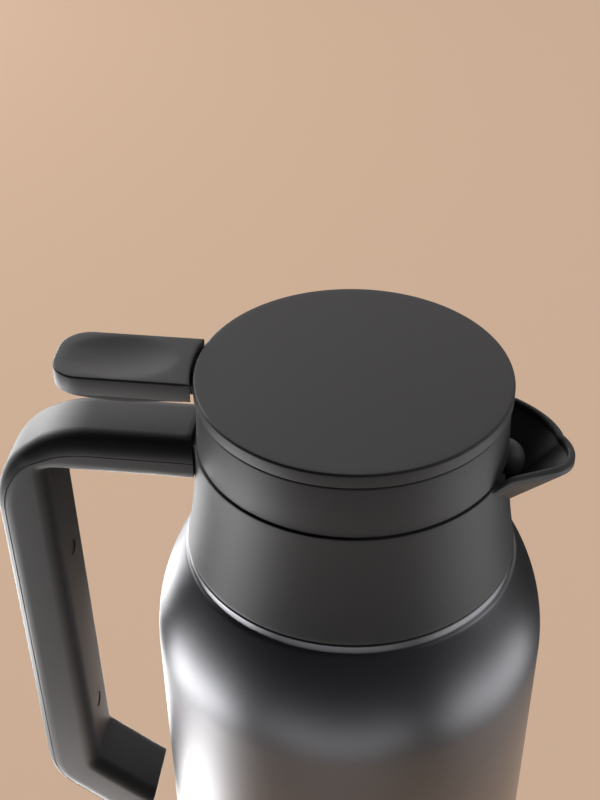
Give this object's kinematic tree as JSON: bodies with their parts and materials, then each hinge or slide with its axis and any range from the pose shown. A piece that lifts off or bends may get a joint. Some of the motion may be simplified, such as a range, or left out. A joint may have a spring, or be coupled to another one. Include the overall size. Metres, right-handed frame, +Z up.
{
  "type": "thermal carafe",
  "caption": "Double-wall insulated carafe with a pouring spout, an open handle and a lift-out lid; a thumb lever raises the stopper valve and a small flap swings out as it pours.",
  "frame": {"origin": "centre of the flat underside of the base pad, on the axis of the vessel", "axes": "+Z up along the axis of the vessel, +X to the pouring spout, -X to the handle and the thumb lever"},
  "size_m": [0.1963, 0.1382, 0.2808],
  "materials": {
    "dark_steel": "satin dark grey coated steel, softly reflective",
    "black_plastic": "fine-textured satin black moulded plastic",
    "bright_steel": "plain stainless steel",
    "black_steel": "black-coated steel screws",
    "base_rubber": "matt black rubber",
    "pale_silicone": "translucent pale silicone"
  },
  "bodies": {
    "vessel": {"outer_shell": "dark_steel", "inner_flask": "bright_steel", "base_plate": "bright_steel", "seal_plug": "bright_steel", "vacuum_getter": "bright_steel", "base_pad": "base_rubber", "neck_gasket": "pale_silicone", "collar": "black_plastic", "clamp_ring": "black_plastic", "collar_screws": "bright_steel", "handle_frame": "black_plastic", "handle_cover": "black_plastic", "handle_screws": "black_steel", "cover_screws": "black_steel"},
    "lid": {"lid_cover": "black_plastic", "lid_skirt": "black_plastic", "lid_screws": "bright_steel", "plug_body": "black_plastic", "plug_screws": "bright_steel", "plug_seal": "pale_silicone", "rod_seal": "pale_silicone", "lever_pin": "bright_steel", "flap_pin": "bright_steel", "valve_spring": "bright_steel"},
    "lever": {"lever_arm": "black_plastic", "lever_cap": "black_plastic"},
    "valve": {"valve_rod": "bright_steel", "rod_cap": "black_plastic", "valve_head": "black_plastic", "valve_gasket": "pale_silicone", "valve_nut": "bright_steel"},
    "flap": {"pour_flap": "black_plastic"}
  },
  "joints": [
    {"name": "lid_lift", "type": "slide", "parent": "vessel", "child": "lid", "axis": [0, 0, 1], "range_m": [0, 0.09]},
    {"name": "lever_hinge", "type": "hinge", "parent": "lid", "child": "lever", "pos_m": [-0.038, 0, 0.268], "axis": [0, -1, 0], "range_deg": [0, 8], "stiffness_Nm_per_rad": 0.58, "springref_deg": -6.88},
    {"name": "valve_lift", "type": "slide", "parent": "lid", "child": "valve", "axis": [0, 0, 1], "range_m": [0, 0.00534], "deforming": ["valve_spring"]},
    {"name": "flap_hinge", "type": "hinge", "parent": "lid", "child": "flap", "pos_m": [0.0472, 0, 0.2585], "axis": [0, -1, 0], "range_deg": [0, 35]}
  ],
  "couplings": [
    {"joint": "valve_lift", "follows": "lever_hinge", "m_per_rad": 0.0382}
  ]
}
